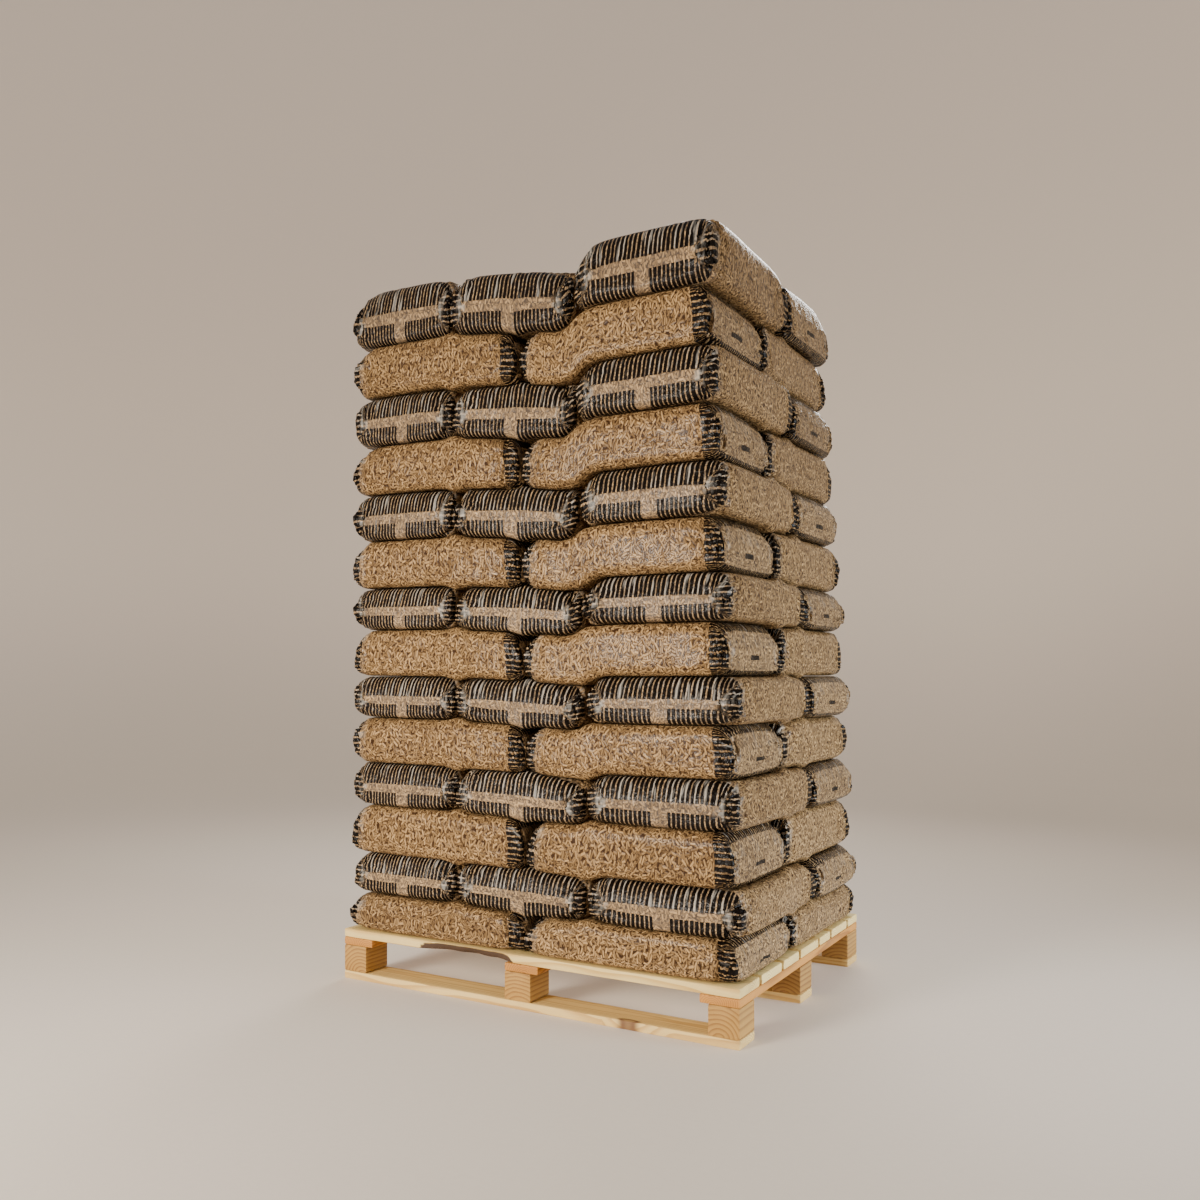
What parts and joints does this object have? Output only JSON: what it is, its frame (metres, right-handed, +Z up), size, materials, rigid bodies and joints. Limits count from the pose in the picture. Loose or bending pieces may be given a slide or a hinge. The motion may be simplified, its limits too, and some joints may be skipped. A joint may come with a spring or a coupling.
{
  "type": "pallet of sacks",
  "caption": "Timber block pallet stacked with layers of clear film sacks of fuel pellets, laid in an alternating bond.",
  "frame": {"origin": "on the ground, under the middle of the pallet", "axes": "+Z up; +X along the long front side, to the right seen from the front; +Y from the front to the back"},
  "size_m": [1.2, 1, 1.9743],
  "materials": {
    "deck_wood": "sawn pale pine, matt",
    "stringer_wood": "sawn orange-brown pine, matt",
    "block_wood": "tan-brown timber block, matt",
    "runner_wood": "sawn pine, matt",
    "sack_film": "clear glossy film over wood pellets, with black comb stripes"
  },
  "bodies": {
    "root": {"bottom_runner_front": "runner_wood", "bottom_runner_centre": "runner_wood", "bottom_runner_back": "runner_wood", "block_front_left": "block_wood", "block_front_centre": "block_wood", "block_front_right": "block_wood", "block_centre_left": "block_wood", "block_centre_centre": "block_wood", "block_centre_right": "block_wood", "block_back_left": "block_wood", "block_back_centre": "block_wood", "block_back_right": "block_wood", "stringer_board_left": "stringer_wood", "stringer_board_centre": "stringer_wood", "stringer_board_right": "stringer_wood", "deck_board_1": "deck_wood", "deck_board_2": "deck_wood", "deck_board_3": "deck_wood", "deck_board_4": "deck_wood", "deck_board_5": "deck_wood", "deck_board_6": "deck_wood", "deck_board_7": "deck_wood", "sack_layer_01": "sack_film", "sack_layer_02": "sack_film", "sack_layer_03": "sack_film", "sack_layer_04": "sack_film", "sack_layer_05": "sack_film", "sack_layer_06": "sack_film", "sack_layer_07": "sack_film", "sack_layer_08": "sack_film", "sack_layer_09": "sack_film", "sack_layer_10": "sack_film", "sack_layer_11": "sack_film", "sack_layer_12": "sack_film", "sack_layer_13": "sack_film", "sack_layer_14": "sack_film"}
  },
  "joints": []
}
